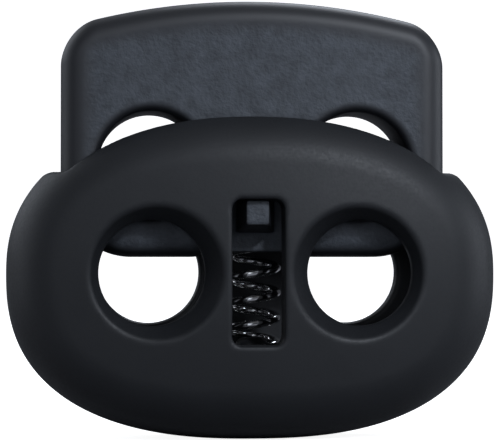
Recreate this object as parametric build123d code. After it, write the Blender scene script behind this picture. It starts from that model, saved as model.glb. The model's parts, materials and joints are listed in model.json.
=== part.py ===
from build123d import *
import math
import os

# Cord lock for two cords. Millimetres, +X to the right, +Z up along the plunger's travel, and the window
# faces -Y. The origin is the lowest point of the housing, midway across its width and its thickness.
# The sizes run from the inside out: the spring sets its pocket, the pocket and the cords set the plunger,
# and the plunger sets the housing around it.

# Spring
wire_diameter = 0.45
spring_diameter = 2.6  # to the middle of the wire
spring_pitch = 1.29
spring_clearance = 0.18  # around the spring in its pocket
peg_clearance = 0.2  # inside the spring, around the peg that stands on the cavity's floor
peg_height = 2.1

# Cord bores
cord_bore_radius = 2.65
rim_flare_depth = 1.4  # of the cone at each end of a housing bore, below the middle of the crowned face
rim_flare_angle = 33.0  # from the bore's axis
housing_rim_round = 0.15
plunger_rim_round = 0.5

# Plunger
press_travel = 5.5  # brings the plunger's bores in line with the housing's
pocket_face_wall = 0.475  # from the pocket to the front and back of the plunger
pocket_side_wall = 0.845  # from the pocket to each cord bore
pocket_above_bores = 0.6  # from the line of the plunger's bores up to the end of the pocket
side_rail = 1.895  # beside each cord bore
grip_rail = 2.05  # under each cord bore
rail_corner_radius = 3.6
middle_relief = 0.25  # how far the middle of the lower edge stands above the rails
relief_slope = 0.6  # width of the step at each side of that relief
thumb_height = 8.3  # from the plunger's bores up to the top of its arch
arch_radius = 33.0
arch_corner_radius = 1.8
plunger_edge_round = 1.2

# Housing shell
side_clearance = 0.08  # at each side of the plunger
face_clearance = 0.12  # in front of the plunger and behind it
floor_clearance = 0.7  # under the pressed plunger
end_wall = 2.675  # beside the plunger, on the line of the cord bores
face_wall = 2.2  # in front of the plunger and behind it, at the middle of the crowned faces
housing_below_bores = 8.4  # from the line of the cord bores down to the lowest point
housing_above_bores = 8.2  # from the same line up to the top of the oval
outline_power_above = 2.3  # 2 is an ellipse, and larger values are squarer
outline_power_below = 2.5
crown_drop = 1.58  # how far the domed faces fall back between the middle and each end
housing_edge_round = 2.7
mouth_lip_round = 0.25
mouth_end_drop = 3.1  # from the top of the oval down to the flat shoulder at each end of the mouth

# Latch tooth on the plunger, and its window in the housing
tooth_root_width = 1.9
tooth_tip_width = 1.1
tooth_height = 1.6
tooth_ramp = 0.4  # from the foot of the tooth up to the lower edge of its tip
tooth_above_rail = 1.2  # from the plunger's lowest edge up to the foot of the tooth
tooth_setback = 0.6  # behind the housing's front face
tooth_stop_gap = 0.05  # over the tooth when the plunger is up
tooth_end_gap = 0.1  # under the tooth when the plunger is pressed
window_side_gap = 0.35  # at each side of the tooth's root
window_corner_radius = 0.5
window_edge_round = 0.15

# Places and sizes worked out from those above
pocket_radius = spring_diameter / 2 + wire_diameter / 2 + spring_clearance
peg_radius = spring_diameter / 2 - wire_diameter / 2 - peg_clearance
centre_web = 2 * (pocket_radius + pocket_side_wall)
bore_x = cord_bore_radius + centre_web / 2
plunger_thickness = 2 * (pocket_radius + pocket_face_wall)
plunger_width = 2 * (bore_x + cord_bore_radius + side_rail)
housing_thickness = plunger_thickness + 2 * (face_clearance + face_wall)
housing_width = plunger_width + 2 * (side_clearance + end_wall)
crown_radius = ((housing_width / 2) ** 2 + crown_drop**2) / (2 * crown_drop)
housing_bore_z = housing_below_bores
housing_top = housing_bore_z + housing_above_bores
plunger_bore_z = housing_bore_z + press_travel
plunger_bottom = plunger_bore_z - cord_bore_radius - grip_rail
plunger_top = plunger_bore_z + thumb_height
cavity_floor = plunger_bottom - press_travel - floor_clearance
mouth_end_z = housing_top - mouth_end_drop
tooth_bottom = plunger_bottom + tooth_above_rail
tooth_top = tooth_bottom + tooth_height
window_width = tooth_root_width + 2 * window_side_gap
window_top = tooth_top + tooth_stop_gap
window_bottom = tooth_bottom - press_travel - tooth_end_gap
pocket_top = plunger_bore_z + pocket_above_bores


def superellipse(half_width, below, above, power_below, power_above, per_quarter=8):
    """Closed curve in the XZ plane about the origin, with its own height and power above and below."""
    points = []
    for i in range(4 * per_quarter):
        angle = math.tau * i / (4 * per_quarter)
        power = power_above if i < 2 * per_quarter else power_below
        across = math.copysign(abs(math.cos(angle)) ** (2 / power), math.cos(angle))
        upright = math.copysign(abs(math.sin(angle)) ** (2 / power), math.sin(angle))
        height = above if upright > 0 else below
        points.append((half_width * across, 0, height * upright))
    return Spline(points, periodic=True)


def through_y(radius, x, z, length):
    """Cylinder along Y, centred on the middle plane."""
    return Pos(x, 0, z) * Rot(90, 0, 0) * Cylinder(radius, length)


def tab_face(half_width, bottom, top, corner_radius):
    """Upright rectangle in the XZ plane whose two lower corners are round."""
    outline = FilletPolyline(
        (-half_width, 0, top),
        (-half_width, 0, bottom),
        (half_width, 0, bottom),
        (half_width, 0, top),
        radius=corner_radius,
    )
    return Face(Wire([*outline.edges(), Line((half_width, 0, top), (-half_width, 0, top))]))


def slab(face, thickness):
    """Solid of a face in the XZ plane, centred on that plane."""
    return extrude(face.moved(Pos(0, -thickness / 2, 0)), amount=thickness, dir=(0, 1, 0))


def edges_along_y(solid):
    return solid.edges().filter_by(Axis.Y)


def make_cavity():
    """Space that the plunger slides in: its own section with clearance, open at the top."""
    half_width = plunger_width / 2 + side_clearance
    thickness = plunger_thickness + 2 * face_clearance
    open_top = housing_top + housing_thickness
    face = tab_face(half_width, cavity_floor, open_top, rail_corner_radius + side_clearance)
    space = slab(face, thickness)
    space = fillet(space.edges().filter_by(Axis.Z), plunger_edge_round)
    ends_height = open_top - mouth_end_z
    ends = Pos(0, 0, mouth_end_z + ends_height / 2) * Box(housing_width, thickness, ends_height)
    return space, ends


def make_window():
    """Cutter for the window in the front wall."""
    height = window_top - window_bottom
    depth = housing_thickness / 2
    cutter = Pos(0, -depth, (window_top + window_bottom) / 2) * Box(window_width, 2 * depth, height)
    return fillet(edges_along_y(cutter), window_corner_radius)


def circles_at(solid, radius, x, z):
    """Circular edges around the Y-axis line through x and z."""
    found = []
    for edge in solid.edges().filter_by(GeomType.CIRCLE):
        centre = edge.arc_center
        if abs(edge.radius - radius) < 1e-4 and abs(centre.X - x) < 1e-4 and abs(centre.Z - z) < 1e-4:
            found.append(edge)
    return ShapeList(found)


def make_pillow():
    """Solid oval: a superellipse outline between two domed faces, with both cord bores cut and rimmed."""
    outline = superellipse(
        housing_width / 2, housing_below_bores, housing_above_bores, outline_power_below, outline_power_above
    )
    pillow = slab(Face(Wire([outline])).moved(Pos(0, 0, housing_bore_z)), 2 * housing_thickness)
    for side in (-1, 1):
        dome_y = side * (housing_thickness / 2 - crown_radius)
        pillow &= Pos(0, dome_y, housing_bore_z) * Sphere(crown_radius)
    for side in (-1, 1):
        pillow -= through_y(cord_bore_radius, side * bore_x, housing_bore_z, 2 * housing_thickness)
        for facing in (-1, 1):
            pillow -= rim_flare(side * bore_x, facing)
    pillow = fillet(bore_rims(pillow), housing_rim_round)
    domes = pillow.faces().sort_by(Axis.Y)
    edges = ShapeList([*domes[0].outer_wire().edges(), *domes[-1].outer_wire().edges()])
    return fillet(edges, housing_edge_round)


def rim_flare(x, facing):
    """Cone that widens a housing bore towards its front (facing -1) or back end (facing 1)."""
    narrow_y = housing_thickness / 2 - rim_flare_depth
    length = 2 * rim_flare_depth
    wide_radius = cord_bore_radius + length * math.tan(math.radians(rim_flare_angle))
    cone = Cone(cord_bore_radius, wide_radius, length)
    return Pos(x, facing * (narrow_y + length / 2), housing_bore_z) * Rot(-90 * facing, 0, 0) * cone


def make_housing():
    space, ends = make_cavity()
    shell = make_pillow() - ends
    shell = fillet(mouth_lips(shell), mouth_lip_round)
    shell -= space
    shell -= make_window()
    shell = fillet(window_rim(shell), window_edge_round)
    peg = Pos(0, 0, cavity_floor + peg_height / 2) * Cylinder(peg_radius, peg_height)
    peg = fillet(peg.edges().sort_by(Axis.Z)[-1], peg_radius / 2)
    return shell + peg


def mouth_lips(shell):
    """Long edges of the mouth, in front of the plunger and behind it."""
    half_gap = plunger_thickness / 2 + face_clearance
    found = []
    for edge in shell.edges():
        box = edge.bounding_box()
        on_slot = abs(abs(box.min.Y) - half_gap) < 1e-3 and box.size.Y < 1e-3
        if on_slot and box.max.Z > mouth_end_z + 1:
            found.append(edge)
    return ShapeList(found)


def bore_rims(shell):
    """Edges where the four flares meet the domed faces, before anything else crosses them."""
    flares = shell.faces().filter_by(GeomType.CONE)
    edges = ShapeList([edge for flare in flares for edge in flare.edges()])
    return edges.filter_by(lambda edge: edge.geom_type not in (GeomType.LINE, GeomType.CIRCLE))


def window_rim(shell):
    """Edges where the window's walls meet the crowned front face."""
    low, high = window_bottom - window_edge_round, window_top + window_edge_round
    half_width = window_width / 2 + window_edge_round
    found = []
    for edge in shell.edges():
        box = edge.bounding_box()
        inside = abs(box.min.X) < half_width and abs(box.max.X) < half_width
        inside = inside and low < box.min.Z and box.max.Z < high
        if inside and box.max.Y < -housing_thickness / 4:
            found.append(edge)
    return ShapeList(found)


def make_plunger():
    half_width = plunger_width / 2
    side_top = plunger_top - (arch_radius - math.sqrt(arch_radius**2 - half_width**2))
    lower = FilletPolyline(
        (-half_width, 0, side_top),
        (-half_width, 0, plunger_bottom),
        (half_width, 0, plunger_bottom),
        (half_width, 0, side_top),
        radius=rail_corner_radius,
    )
    arch = ThreePointArc((half_width, 0, side_top), (0, 0, plunger_top), (-half_width, 0, side_top))
    body = slab(Face(Wire([*lower.edges(), arch])), plunger_thickness)
    corners = edges_along_y(body).sort_by(Axis.Z)[-2:]
    body = fillet(corners, arch_corner_radius)
    faces = body.faces().sort_by(Axis.Y)
    body = fillet(ShapeList([*faces[0].edges(), *faces[-1].edges()]), plunger_edge_round)

    # The middle of the lower edge stays square, so that the spring's pocket keeps its whole wall.
    block_height = tooth_above_rail + tooth_height
    block = Box(centre_web, plunger_thickness, block_height)
    body += Pos(0, 0, plunger_bottom + block_height / 2) * block
    body -= slab(relief_face(), 2 * plunger_thickness)
    for side in (-1, 1):
        body -= through_y(cord_bore_radius, side * bore_x, plunger_bore_z, 2 * plunger_thickness)
    for side in (-1, 1):
        rims = circles_at(body, cord_bore_radius, side * bore_x, plunger_bore_z)
        body = fillet(rims, plunger_rim_round)

    pocket_height = pocket_top - plunger_bottom
    body -= Pos(0, 0, plunger_bottom + pocket_height / 2) * Cylinder(pocket_radius, pocket_height)
    return body + make_tooth()


def relief_face():
    """Shallow trapezium that lifts the middle of the lower edge clear of the rails."""
    half_width = centre_web / 2
    below = plunger_bottom - middle_relief
    above = plunger_bottom + middle_relief
    corners = [
        (-half_width - 2 * relief_slope, 0, below),
        (half_width + 2 * relief_slope, 0, below),
        (half_width, 0, above),
        (-half_width, 0, above),
    ]
    return Face(Wire.make_polygon(corners))


def make_tooth():
    """Latch tooth on the plunger's front face: flat on top, and sloping in at both sides and below."""
    root_y = -plunger_thickness / 2
    tip_y = -housing_thickness / 2 + tooth_setback
    root = tooth_section(root_y, tooth_root_width, tooth_bottom)
    tip = tooth_section(tip_y, tooth_tip_width, tooth_bottom + tooth_ramp)
    return loft([root, tip], ruled=True)


def tooth_section(y, width, bottom):
    corners = [
        (-width / 2, y, bottom),
        (width / 2, y, bottom),
        (width / 2, y, tooth_top),
        (-width / 2, y, tooth_top),
    ]
    return Face(Wire.make_polygon(corners))


def make_spring():
    """Helix of round wire with both ends ground flat, from the cavity's floor to the pocket's end."""
    length = pocket_top - cavity_floor
    spare = spring_pitch
    path = Pos(0, 0, cavity_floor - spare) * Helix(
        pitch=spring_pitch, height=length + 2 * spare, radius=spring_diameter / 2
    )
    section = Plane(origin=path @ 0, z_dir=path % 0) * Circle(wire_diameter / 2)
    wire = sweep(section, path=path, is_frenet=True)
    keep = Pos(0, 0, cavity_floor + length / 2) * Cylinder(2 * spring_diameter, length)
    return wire & keep


os.makedirs("parts", exist_ok=True)
for name, make in (("housing", make_housing), ("plunger", make_plunger), ("spring", make_spring)):
    part = make()
    part.label = name
    export_step(part, f"parts/{name}.step")
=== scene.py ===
import json
import math

import bpy
import numpy as np
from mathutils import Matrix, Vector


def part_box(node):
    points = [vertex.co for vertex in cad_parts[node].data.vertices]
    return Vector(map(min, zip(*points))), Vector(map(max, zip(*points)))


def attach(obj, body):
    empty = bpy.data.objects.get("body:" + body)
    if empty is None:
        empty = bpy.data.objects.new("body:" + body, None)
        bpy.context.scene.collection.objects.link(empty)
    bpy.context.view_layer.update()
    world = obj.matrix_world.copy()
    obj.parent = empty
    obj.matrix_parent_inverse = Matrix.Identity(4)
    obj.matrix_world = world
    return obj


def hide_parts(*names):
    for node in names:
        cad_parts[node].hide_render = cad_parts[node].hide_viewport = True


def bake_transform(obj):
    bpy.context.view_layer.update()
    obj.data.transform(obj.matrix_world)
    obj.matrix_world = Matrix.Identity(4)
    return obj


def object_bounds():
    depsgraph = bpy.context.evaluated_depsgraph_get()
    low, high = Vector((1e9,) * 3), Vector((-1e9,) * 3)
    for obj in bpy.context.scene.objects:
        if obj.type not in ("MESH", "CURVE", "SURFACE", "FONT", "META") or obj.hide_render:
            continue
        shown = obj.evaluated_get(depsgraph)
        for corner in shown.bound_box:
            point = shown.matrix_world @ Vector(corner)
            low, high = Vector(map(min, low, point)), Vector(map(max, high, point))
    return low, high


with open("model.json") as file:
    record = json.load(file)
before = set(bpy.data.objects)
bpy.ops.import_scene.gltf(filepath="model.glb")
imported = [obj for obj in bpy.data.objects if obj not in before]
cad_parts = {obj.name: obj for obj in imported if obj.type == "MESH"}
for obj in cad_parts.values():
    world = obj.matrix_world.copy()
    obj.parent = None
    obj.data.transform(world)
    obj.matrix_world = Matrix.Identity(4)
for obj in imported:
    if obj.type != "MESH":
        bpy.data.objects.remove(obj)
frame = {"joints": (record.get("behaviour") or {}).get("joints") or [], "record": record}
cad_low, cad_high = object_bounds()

import openvdb
from mathutils import Vector

# The pieces are worked out in millimetres, in the frame of the CAD model, and written in metres.
MM = 0.001


# ---------------------------------------------------------------------------------------------------------
# Sizes, in millimetres
# ---------------------------------------------------------------------------------------------------------


def box_mm(node):
    low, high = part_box(node)
    return np.array(low) / MM, np.array(high) / MM


housing_low, housing_high = box_mm("housing")
plunger_low, plunger_high = box_mm("plunger")
spring_low, spring_high = box_mm("spring")
mounts = {mount["name"]: mount for mount in frame["record"]["mounts"]}
cord_hole = mounts["cord_hole_front_right"]
travel = frame["joints"][0]["range_m"][1] / MM

bore_x = cord_hole["pos_m"][0] / MM
bore_z = cord_hole["pos_m"][2] / MM
bore_radius = cord_hole["dims"]["r_mm"]
small_round = 0.12  # softens edges that the mould leaves almost sharp

# Housing
half_width = 12.5
height_above_bores = 8.2
housing_half_thickness = 4.5
outline_power_above = 2.3
outline_power_below = 2.5
crown_drop = 1.58  # how far the domed faces fall back between the middle and each end
crown_radius = (half_width**2 + crown_drop**2) / (2 * crown_drop)
housing_edge_round = 2.7
rim_flare_depth = 1.4  # of the cone at each end of a bore
rim_flare_angle = math.radians(33.0)
housing_rim_round = 0.15
slot_half_thickness = 2.3
slot_half_width = plunger_high[0] + 0.08
slot_end_round = 1.2
slot_floor_round = 3.68
slot_floor = spring_low[2]
mouth_end_z = 13.5
mouth_lip_round = 0.25
window_half_width = 1.3
window_corner = 0.5
window_edge_round = 0.15
window_low, window_high = 4.8, 12.05
peg_radius = 0.875
peg_top = 5.1
peg_tip_round = 0.6 * peg_radius
peg_root = slot_floor - 1

# Plunger
plunger_half_width = plunger_high[0]
plunger_half_thickness = plunger_high[1]
plunger_bore_z = bore_z + travel
arch_radius = 33.0
arch_corner = 1.8
rail_corner = 3.6
plunger_edge_round = 1.2
plunger_rim_round = 0.5
web_half_width = 2.55
middle_relief = 0.25
relief_slope = 0.6
block_height = 2.8
pocket_radius = 1.705
tooth_low, tooth_high = 10.4, 12.0
tooth_root_half_width = 0.95
tooth_root_depth = 0.3
tooth_tip_half_width = 0.55
tooth_tip_low = 10.8
border_start, border_end = 0.8, 2.0  # from the tab's edge, where smooth border turns into eroded face
rim_start, rim_end = 0.15, 0.6  # the same, from the edge of a bore
face_start, face_end = 0.6, 0.95  # the same, by how squarely the surface faces front or back

# Spring
wire_radius = 0.225
coil_radius = 1.3
coil_phase = 0.04  # of a turn, where the wire starts
dead_turns = 1.0
dead_pitch = 0.47
active_pitch = 1.29
pitch_change = 0.35  # of a turn, before and after each change of pitch

# Meshes
housing_step = 0.14
plunger_step = 0.11
slope_reach = 0.01
settle_passes = 4
least_slope_squared = 0.25  # keeps a vertex from being thrown far where the slope is small
wire_sides = 16
rings_per_turn = 72


# ---------------------------------------------------------------------------------------------------------
# Distances: each is negative inside a solid, and close to the real distance near its surface
# ---------------------------------------------------------------------------------------------------------


def both(a, b, radius):
    """Intersection whose convex edge has that radius."""
    u = np.maximum(radius + a, 0)
    v = np.maximum(radius + b, 0)
    return np.minimum(np.maximum(a, b), -radius) + np.hypot(u, v)


def without(a, b, radius):
    """The first less the second, with the edge between them rounded."""
    return both(a, -b, radius)


def either(a, b, radius):
    """Union whose concave edge has that radius."""
    return -both(-a, -b, radius)


def rectangle(x, z, half_x, low, high, corner):
    """Rectangle with round corners, in a plane."""
    across = np.abs(x) - half_x + corner
    upright = np.abs(z - (low + high) / 2) - (high - low) / 2 + corner
    outside = np.hypot(np.maximum(across, 0), np.maximum(upright, 0))
    return outside + np.minimum(np.maximum(across, upright), 0) - corner


def oval(x, z):
    """Superellipse about the line of the cord holes, with its own height above and below."""
    z = z - bore_z
    reach = np.where(z > 0, height_above_bores, bore_z)
    power = np.where(z > 0, outline_power_above, outline_power_below)
    u = np.abs(x) / half_width
    v = np.abs(z) / reach
    size = (u**power + v**power) ** (1 / power) + 1e-9
    slope_x = (u / size) ** (power - 1) / half_width
    slope_z = (v / size) ** (power - 1) / reach
    return (size - 1) / np.hypot(slope_x, slope_z)


def bores(x, z, centre_z, radius):
    """Both round cord holes."""
    return np.hypot(np.abs(x) - bore_x, z - centre_z) - radius


def flared_bores(x, y, z):
    """Both cord holes of the housing, with the cones that widen them at the front and the back."""
    straight = bores(x, z, bore_z, bore_radius) + 0 * y
    depth = np.abs(y) - housing_half_thickness + rim_flare_depth
    flare = straight * math.cos(rim_flare_angle) - depth * math.sin(rim_flare_angle)
    return np.minimum(straight, flare)


def housing_distance(x, y, z):
    """Oval shell with its cord holes, window, slot, mouth and the peg on the slot's floor."""
    domes = np.sqrt(x**2 + (np.abs(y) + crown_radius - housing_half_thickness) ** 2 + (z - bore_z) ** 2)
    solid = both(domes - crown_radius, oval(x, z) + 0 * y, housing_edge_round)
    solid = without(solid, flared_bores(x, y, z), housing_rim_round)
    window = rectangle(x, z, window_half_width, window_low, window_high, window_corner)
    solid = without(solid, np.maximum(window, y), window_edge_round)
    open_top = 3 * housing_high[2]
    slot = rectangle(x, z, slot_half_width, slot_floor, open_top, slot_floor_round)
    slot = both(slot, np.abs(y) - slot_half_thickness, slot_end_round)
    solid = without(solid, slot, mouth_lip_round)
    ends = both(np.abs(y) - slot_half_thickness, mouth_end_z - z + 0 * x, small_round)
    solid = without(solid, ends, mouth_lip_round)
    peg = both(np.hypot(x, y) - peg_radius, z - peg_top, peg_tip_round)
    peg = np.maximum(peg, peg_root - z)
    return either(solid, peg, small_round)


def tooth_distance(x, y, z):
    """Latch tooth: flat on top, and sloping in at both sides and below."""
    root_y = -plunger_half_thickness
    reach = root_y - plunger_low[1]
    out = np.clip(root_y - y, 0, reach) / reach
    half = tooth_root_half_width + (tooth_tip_half_width - tooth_root_half_width) * out
    low = tooth_low + (tooth_tip_low - tooth_low) * out
    side = (np.abs(x) - half) * reach / math.hypot(reach, tooth_root_half_width - tooth_tip_half_width)
    under = (low - z) * reach / math.hypot(reach, tooth_tip_low - tooth_low)
    solid = both(side, under, small_round)
    solid = both(solid, z - tooth_high, small_round)
    solid = both(solid, plunger_low[1] - y, small_round)
    return np.maximum(solid, y - root_y - tooth_root_depth)


def arch_and_sides(x, z):
    """The tab's outline without its lower edge."""
    arch = np.hypot(x, z - plunger_high[2] + arch_radius) - arch_radius
    return both(arch, np.abs(x) - plunger_half_width, arch_corner)


def plunger_distance(x, y, z):
    """Arched tab with its cord holes, the block around the spring's pocket, and the latch tooth."""
    outline = both(arch_and_sides(x, z), plunger_low[2] - z, rail_corner)
    solid = both(outline, np.abs(y) - plunger_half_thickness, plunger_edge_round)
    block_top = plunger_low[2] + block_height
    block = rectangle(x, z, web_half_width, plunger_low[2], block_top, small_round)
    block = both(block, np.abs(y) - plunger_half_thickness, small_round)
    solid = either(solid, block, small_round)
    slope = middle_relief / math.hypot(middle_relief, relief_slope)
    relief_top = z - plunger_low[2] - middle_relief
    relief_side = (np.abs(x) - web_half_width) * slope + relief_top * slope
    relief = np.maximum(relief_top, relief_side)
    solid = without(solid, relief + 0 * y, small_round)
    solid = without(solid, bores(x, z, plunger_bore_z, bore_radius) + 0 * y, plunger_rim_round)
    pocket = both(np.hypot(x, y) - pocket_radius, z - spring_high[2], small_round)
    solid = without(solid, pocket, small_round)
    return either(solid, tooth_distance(x, y, z), small_round)


# ---------------------------------------------------------------------------------------------------------
# Meshes
# ---------------------------------------------------------------------------------------------------------


def new_piece(name, points, faces):
    """Smooth-shaded object from points in millimetres."""
    mesh = bpy.data.meshes.new(name)
    mesh.from_pydata((points * MM).tolist(), [], faces)
    mesh.polygons.foreach_set("use_smooth", np.ones(len(mesh.polygons), dtype=bool))
    mesh.update()
    piece = bpy.data.objects.new(name, mesh)
    bpy.context.scene.collection.objects.link(piece)
    return piece


def set_attribute(piece, name, values):
    """One number per vertex, for a material to read."""
    attribute = piece.data.attributes.new(name, "FLOAT", "POINT")
    attribute.data.foreach_set("value", np.asarray(values, dtype=np.float32))


def smooth_step(value, low, high):
    t = np.clip((value - low) / (high - low), 0, 1)
    return t * t * (3 - 2 * t)


def slope_of(distance, points):
    """Gradient of a distance at each point."""
    slopes = []
    for axis in range(3):
        offset = np.zeros(3)
        offset[axis] = slope_reach
        ahead = distance(*(points + offset).T)
        behind = distance(*(points - offset).T)
        slopes.append((ahead - behind) / (2 * slope_reach))
    return np.stack(slopes, axis=1)


def surface_of(distance, low, high, step):
    """Quads over the surface of a distance, with every vertex then moved onto it."""
    margin = 2 * step
    counts = np.ceil((high - low + 2 * margin) / step).astype(int) + 1
    start = (low + high) / 2 - step * (counts - 1) / 2
    lines = [start[i] + step * np.arange(counts[i]) for i in range(3)]
    x, y, z = np.meshgrid(*lines, indexing="ij", sparse=True)
    grid = openvdb.FloatGrid(margin)
    grid.copyFromArray(distance(x, y, z).astype(np.float32))
    points, quads = grid.convertToQuads(isovalue=0.0)
    points = start + step * points.astype(float)
    for _ in range(settle_passes):
        slope = slope_of(distance, points)
        gap = distance(*points.T) / np.maximum((slope**2).sum(axis=1), least_slope_squared)
        points -= np.clip(gap, -step, step)[:, None] * slope
    return points, quads[:, ::-1].tolist()


def make_housing():
    points, quads = surface_of(housing_distance, housing_low, housing_high, housing_step)
    return new_piece("housing_shell", points, quads)


def make_plunger():
    """The tab, with an attribute that says where its faces are flat and eroded."""
    points, quads = surface_of(plunger_distance, plunger_low, plunger_high, plunger_step)
    piece = new_piece("plunger_tab", points, quads)
    x, _, z = points.T
    facing = smooth_step(np.abs(slope_of(plunger_distance, points)[:, 1]), face_start, face_end)
    from_edge = smooth_step(-arch_and_sides(x, z), border_start, border_end)
    from_bore = smooth_step(bores(x, z, plunger_bore_z, bore_radius), rim_start, rim_end)
    set_attribute(piece, "flatness", from_edge * from_bore * facing)
    return piece


def spring_line():
    """Middle of the wire, with closed end coils, and for each point its share of the way up between them."""
    length = spring_high[2] - spring_low[2] - wire_radius
    active_turns = (length - 2 * dead_turns * dead_pitch) / active_pitch
    turns = 2 * dead_turns + active_turns
    turn = np.linspace(0, turns, int(turns * rings_per_turn) + 1)
    lower_change, upper_change = dead_turns, turns - dead_turns
    pitch_by_turn = {
        0: dead_pitch,
        lower_change - pitch_change: dead_pitch,
        lower_change + pitch_change: active_pitch,
        upper_change - pitch_change: active_pitch,
        upper_change + pitch_change: dead_pitch,
        turns: dead_pitch,
    }
    rise = np.interp(turn, list(pitch_by_turn), list(pitch_by_turn.values()))
    climb = np.concatenate([[0], np.cumsum((rise[1:] + rise[:-1]) / 2 * np.diff(turn))])
    z = spring_low[2] + wire_radius / 2 + climb * length / climb[-1]
    angle = math.tau * (turn + coil_phase)
    line = np.stack([coil_radius * np.cos(angle), coil_radius * np.sin(angle), z], axis=1)
    share_up = np.clip((turn - dead_turns) / active_turns, 0, 1)
    return line, share_up


def make_spring():
    """Round wire along its line, ground flat at both ends."""
    line, share_up = spring_line()
    forward = np.gradient(line, axis=0)
    forward /= np.linalg.norm(forward, axis=1)[:, None]
    outward = line * [1, 1, 0] / coil_radius
    upward = np.cross(forward, outward)
    upward *= np.sign(upward[:, 2])[:, None]
    angle = math.tau * np.arange(wire_sides) / wire_sides
    across = np.cos(angle)[None, :, None] * outward[:, None, :]
    along = np.sin(angle)[None, :, None] * upward[:, None, :]
    points = line[:, None, :] + wire_radius * (across + along)
    points[..., 2] = np.clip(points[..., 2], spring_low[2], spring_high[2])
    last_ring = (len(line) - 1) * wire_sides
    faces = []
    for low in range(0, last_ring, wire_sides):
        high = low + wire_sides
        for j in range(wire_sides):
            k = (j + 1) % wire_sides
            faces.append((low + j, high + j, high + k, low + k))
    faces.append(tuple(range(wire_sides)))
    faces.append(tuple(reversed(range(last_ring, last_ring + wire_sides))))
    piece = new_piece("spring_coil", points.reshape(-1, 3), faces)
    return piece, np.repeat(share_up, wire_sides)


# ---------------------------------------------------------------------------------------------------------
# Materials
# ---------------------------------------------------------------------------------------------------------

NOISE_LOW, NOISE_HIGH = 0.3, 0.7  # the range that a noise texture mostly keeps to


def new_material(name):
    material = bpy.data.materials.new(name)
    material.use_nodes = True
    return material, material.node_tree, material.node_tree.nodes["Principled BSDF"]


def give(piece, material):
    piece.data.materials.clear()
    piece.data.materials.append(material)


def noise(tree, scale, detail):
    """Noise over the piece's own coordinates, scale in features per metre."""
    coordinates = tree.nodes.new("ShaderNodeTexCoord")
    texture = tree.nodes.new("ShaderNodeTexNoise")
    texture.inputs["Scale"].default_value = scale
    texture.inputs["Detail"].default_value = detail
    tree.links.new(coordinates.outputs["Object"], texture.inputs["Vector"])
    return texture.outputs["Fac"]


def remap(tree, value, low, high, from_low=NOISE_LOW, from_high=NOISE_HIGH):
    node = tree.nodes.new("ShaderNodeMapRange")
    node.inputs["From Min"].default_value = from_low
    node.inputs["From Max"].default_value = from_high
    node.inputs["To Min"].default_value = low
    node.inputs["To Max"].default_value = high
    tree.links.new(value, node.inputs["Value"])
    return node.outputs["Result"]


def multiplied(tree, a, b):
    node = tree.nodes.new("ShaderNodeMath")
    node.operation = "MULTIPLY"
    tree.links.new(a, node.inputs[0])
    tree.links.new(b, node.inputs[1])
    return node.outputs[0]


def mixed_colour(tree, value, dark, light):
    """Colour that runs from dark to light with a noise."""
    ramp = tree.nodes.new("ShaderNodeValToRGB")
    ramp.color_ramp.elements[0].position = NOISE_LOW
    ramp.color_ramp.elements[0].color = (*dark, 1)
    ramp.color_ramp.elements[1].position = NOISE_HIGH
    ramp.color_ramp.elements[1].color = (*light, 1)
    tree.links.new(value, ramp.inputs["Fac"])
    return ramp.outputs["Color"]


def bump(tree, height, distance, below=None):
    """Bump of that height in metres, on top of another bump if one is given."""
    node = tree.nodes.new("ShaderNodeBump")
    node.inputs["Strength"].default_value = 1.0
    node.inputs["Distance"].default_value = distance
    tree.links.new(height, node.inputs["Height"])
    if below is not None:
        tree.links.new(below, node.inputs["Normal"])
    return node.outputs["Normal"]


def housing_material():
    """Black moulded plastic with a fine satin skin."""
    material, tree, shader = new_material("black_shell_plastic")
    cloud = noise(tree, 260.0, 2.0)
    grain = noise(tree, 7000.0, 2.0)
    colour = mixed_colour(tree, cloud, (0.0080, 0.0090, 0.0110), (0.0100, 0.0112, 0.0135))
    tree.links.new(colour, shader.inputs["Base Color"])
    tree.links.new(remap(tree, grain, 0.50, 0.60), shader.inputs["Roughness"])
    shader.inputs["IOR"].default_value = 1.45
    ripple = bump(tree, noise(tree, 450.0, 2.0), 0.00002)
    tree.links.new(bump(tree, grain, 0.000004, below=ripple), shader.inputs["Normal"])
    return material


def plunger_material():
    """The same plastic, spark-eroded and greyer on its flat faces, and smooth around its edges."""
    material, tree, shader = new_material("black_tab_plastic")
    attribute = tree.nodes.new("ShaderNodeAttribute")
    attribute.attribute_name = "flatness"
    flat = attribute.outputs["Fac"]
    mottle = mixed_colour(tree, noise(tree, 1600.0, 3.0), (0.032, 0.037, 0.045), (0.056, 0.064, 0.076))
    blend = tree.nodes.new("ShaderNodeMix")
    blend.data_type = "RGBA"
    blend.inputs["A"].default_value = (0.012, 0.013, 0.016, 1)
    tree.links.new(flat, blend.inputs["Factor"])
    tree.links.new(mottle, blend.inputs["B"])
    tree.links.new(blend.outputs["Result"], shader.inputs["Base Color"])
    tree.links.new(remap(tree, flat, 0.50, 0.68, 0.0, 1.0), shader.inputs["Roughness"])
    shader.inputs["IOR"].default_value = 1.5
    grain = multiplied(tree, noise(tree, 5200.0, 3.0), flat)
    tree.links.new(bump(tree, grain, 0.00005), shader.inputs["Normal"])
    return material


def spring_material():
    """Bright drawn wire, with faint draw marks."""
    material, tree, shader = new_material("bright_wire")
    marks = noise(tree, 3000.0, 2.0)
    colour = mixed_colour(tree, marks, (0.60, 0.60, 0.61), (0.75, 0.75, 0.75))
    tree.links.new(colour, shader.inputs["Base Color"])
    shader.inputs["Metallic"].default_value = 1.0
    tree.links.new(remap(tree, marks, 0.07, 0.14), shader.inputs["Roughness"])
    tree.links.new(bump(tree, marks, 0.000002), shader.inputs["Normal"])
    return material


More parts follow.
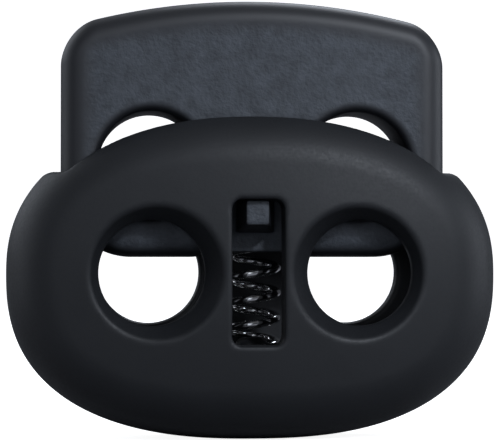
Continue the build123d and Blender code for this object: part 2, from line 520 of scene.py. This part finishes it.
def stage_material():
    """White to the camera, and dim in reflections and to the light that bounces off it."""
    material, tree, shader = new_material("pale_stage")
    shader.inputs["Base Color"].default_value = (0.9, 0.9, 0.9, 1)
    shader.inputs["Roughness"].default_value = 0.9
    shader.inputs["Specular IOR Level"].default_value = 0.0
    shader.inputs["Emission Color"].default_value = (1, 1, 1, 1)
    shader.inputs["Emission Strength"].default_value = 0.9
    dim = tree.nodes.new("ShaderNodeBsdfDiffuse")
    dim.inputs["Color"].default_value = (0.25, 0.25, 0.26, 1)
    path = tree.nodes.new("ShaderNodeLightPath")
    mix = tree.nodes.new("ShaderNodeMixShader")
    tree.links.new(path.outputs["Is Camera Ray"], mix.inputs["Fac"])
    tree.links.new(dim.outputs["BSDF"], mix.inputs[1])
    tree.links.new(shader.outputs["BSDF"], mix.inputs[2])
    tree.links.new(mix.outputs["Shader"], tree.nodes["Material Output"].inputs["Surface"])
    return material


# ---------------------------------------------------------------------------------------------------------
# Stage, light and camera
# ---------------------------------------------------------------------------------------------------------


def direction(azimuth, elevation):
    """Unit vector in degrees: azimuth 0 is in front of the object, and 90 is to its right."""
    a, e = math.radians(azimuth), math.radians(elevation)
    return Vector((math.sin(a) * math.cos(e), -math.cos(a) * math.cos(e), math.sin(e)))


def make_stage():
    """Pale floor that curves up into a backdrop all the way round, with its sizes in millimetres."""
    floor_reach, rise_radius, wall_height = 350.0, 100.0, 450.0
    rise_steps, sides = 12, 64
    profile = [(floor_reach, 0.0)]
    for i in range(1, rise_steps + 1):
        angle = math.pi / 2 * i / rise_steps
        profile.append((floor_reach + rise_radius * math.sin(angle), rise_radius * (1 - math.cos(angle))))
    profile.append((floor_reach + rise_radius, wall_height))
    points, faces = [], []
    for radius, height in profile:
        for k in range(sides):
            angle = math.tau * k / sides
            points.append((radius * math.cos(angle), radius * math.sin(angle), height))
    centre = len(points)
    points.append((0.0, 0.0, 0.0))
    for k in range(sides):
        after = (k + 1) % sides
        faces.append((centre, k, after))
        for low in range(0, (len(profile) - 1) * sides, sides):
            high = low + sides
            faces.append((low + k, high + k, high + after, low + after))
    stage = new_piece("stage", np.array(points), faces)
    give(stage, stage_material())


def add_light(name, azimuth, elevation, distance, size, power):
    """Cool soft light aimed at the middle of the object, with its distance and size in metres."""
    middle = (Vector(cad_low) + Vector(cad_high)) / 2
    place = middle + distance * direction(azimuth, elevation)
    lamp = bpy.data.lights.new(name, "AREA")
    lamp.size = size
    lamp.energy = power
    lamp.color = (0.90, 0.96, 1.06)
    light = bpy.data.objects.new(name, lamp)
    light.location = place
    light.visible_camera = False
    light.rotation_euler = (middle - place).to_track_quat("-Z", "Y").to_euler()
    bpy.context.scene.collection.objects.link(light)


def light_scene():
    world = bpy.data.worlds.new("soft_room")
    bpy.context.scene.world = world
    world.use_nodes = True
    world.node_tree.nodes["Background"].inputs["Color"].default_value = (1, 1, 1, 1)
    world.node_tree.nodes["Background"].inputs["Strength"].default_value = 0.12
    add_light("key", azimuth=24, elevation=35, distance=0.30, size=0.03, power=0.40)
    add_light("front", azimuth=-25, elevation=15, distance=0.30, size=0.20, power=0.10)
    add_light("near right", azimuth=38, elevation=20, distance=0.05, size=0.02, power=0.0055)
    add_light("right", azimuth=95, elevation=5, distance=0.30, size=0.20, power=0.30)
    add_light("left", azimuth=-100, elevation=5, distance=0.30, size=0.20, power=0.15)
    add_light("top", azimuth=10, elevation=75, distance=0.30, size=0.20, power=0.02)
    add_light("back right", azimuth=160, elevation=50, distance=0.30, size=0.12, power=0.30)
    add_light("back left", azimuth=-130, elevation=30, distance=0.30, size=0.20, power=0.20)
    bpy.context.scene.view_settings.view_transform = "Standard"


def place_camera():
    target = Vector((-0.07, 0, 10.97)) * MM
    back = direction(azimuth=-4.8, elevation=-1.1)
    distance = 0.1023
    data = bpy.data.cameras.new("camera")
    data.sensor_width = 36.0
    data.lens = 143.5
    data.clip_start = 0.001
    camera = bpy.data.objects.new("camera", data)
    camera.location = target + distance * back
    camera.rotation_euler = (-back).to_track_quat("-Z", "Y").to_euler()
    bpy.context.scene.collection.objects.link(camera)
    bpy.context.scene.camera = camera


# ---------------------------------------------------------------------------------------------------------
# The scene
# ---------------------------------------------------------------------------------------------------------

place_camera()
make_stage()
light_scene()

housing = make_housing()
give(housing, housing_material())
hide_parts("housing")
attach(housing, "housing")

plunger = make_plunger()
give(plunger, plunger_material())
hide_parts("plunger")
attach(plunger, "plunger")

# The spring, with closed end coils; spring_weight holds each vertex's share of the way up between them.
spring, spring_weight = make_spring()
give(spring, spring_material())
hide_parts("spring")
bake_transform(spring)
